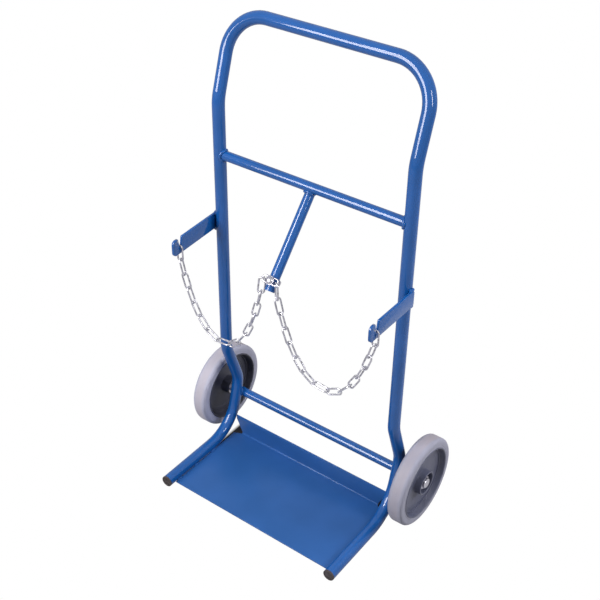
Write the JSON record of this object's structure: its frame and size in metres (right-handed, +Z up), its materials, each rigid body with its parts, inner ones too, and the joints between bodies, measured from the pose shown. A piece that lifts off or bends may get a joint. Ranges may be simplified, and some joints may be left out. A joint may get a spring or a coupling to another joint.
{
  "type": "torch cart",
  "caption": "Two-wheeled tube-frame cart for an oxygen and a fuel gas cylinder, with a folded base plate, chain strut, chain brackets and hanging chains.",
  "frame": {"origin": "on the floor, under the middle of the cart's outline", "axes": "+X to the right seen from the front (the runner ends), +Y backwards from the runner ends to the wheels, +Z up"},
  "size_m": [0.568, 0.364, 1.021],
  "materials": {
    "paint": "glossy powder coat",
    "zinc": "bright zinc plate",
    "tyre": "smooth grey solid rubber",
    "rim": "moulded, slightly satin",
    "plug": "moulded, satin"
  },
  "bodies": {
    "frame": {"frame_tube": "paint", "upper_crossbar": "paint", "chain_strut": "paint", "axle": "paint", "left_chain_bracket": "paint", "right_chain_bracket": "paint", "base_plate": "paint", "left_runner_plug": "plug", "right_runner_plug": "plug", "crossbar_welds": "paint", "strut_weld": "paint", "axle_welds": "paint", "bracket_welds": "paint", "plate_welds": "paint", "chain_bolt": "zinc", "bolt_washers": "zinc", "chain_nut": "zinc", "centre_link": "zinc", "left_axle_spacer": "zinc", "right_axle_spacer": "zinc", "left_inner_washer": "zinc", "right_inner_washer": "zinc", "left_outer_washer": "zinc", "right_outer_washer": "zinc", "left_axle_cap": "zinc", "right_axle_cap": "zinc"},
    "left_wheel": {"left_tyre": "tyre", "left_rim": "rim"},
    "right_wheel": {"right_tyre": "tyre", "right_rim": "rim"},
    "left_hook_link": {"left_bolt_end_link": "zinc"},
    "left_slot_link": {"left_slot_end_link": "zinc"},
    "left_chain": {"left_chain_links": "zinc"},
    "right_hook_link": {"right_bolt_end_link": "zinc"},
    "right_slot_link": {"right_slot_end_link": "zinc"},
    "right_chain": {"right_chain_links": "zinc"}
  },
  "joints": [
    {"name": "left_wheel_spin", "type": "hinge", "parent": "frame", "child": "left_wheel", "pos_m": [-0.263, 0.082, 0.1], "axis": [1, 0, 0], "continuous": true},
    {"name": "right_wheel_spin", "type": "hinge", "parent": "frame", "child": "right_wheel", "pos_m": [0.263, 0.082, 0.1], "axis": [1, 0, 0], "continuous": true},
    {"name": "left_hook_swing", "type": "hinge", "parent": "frame", "child": "left_hook_link", "pos_m": [-0.0161, -0.0897, 0.59091], "axis": [0.9982, -0.0165, 0.057], "range_deg": [0, 5]},
    {"name": "left_slot_swing", "type": "hinge", "parent": "frame", "child": "left_slot_link", "pos_m": [-0.22568, -0.08624, 0.57894], "axis": [0.9982, -0.0165, 0.057], "range_deg": [0, 5]},
    {"name": "left_chain_swing", "type": "hinge", "parent": "left_hook_link", "child": "left_chain", "pos_m": [-0.01912, -0.09156, 0.55539], "axis": [0.9979, -0.0257, 0.0587], "range_deg": [-35, 20]},
    {"name": "right_hook_swing", "type": "hinge", "parent": "frame", "child": "right_hook_link", "pos_m": [0.0161, -0.0897, 0.59091], "axis": [0.9983, 0.0193, -0.0549], "range_deg": [0, 5]},
    {"name": "right_slot_swing", "type": "hinge", "parent": "frame", "child": "right_slot_link", "pos_m": [0.23373, -0.0855, 0.57894], "axis": [0.9983, 0.0193, -0.0549], "range_deg": [0, 5]},
    {"name": "right_chain_swing", "type": "hinge", "parent": "right_hook_link", "child": "right_chain", "pos_m": [0.01912, -0.09156, 0.55539], "axis": [0.998, 0.0282, -0.0565], "range_deg": [-35, 20]}
  ],
  "couplings": [
    {"joint": "left_slot_swing", "follows": "left_hook_swing", "ratio": 1},
    {"joint": "right_slot_swing", "follows": "right_hook_swing", "ratio": 1}
  ]
}
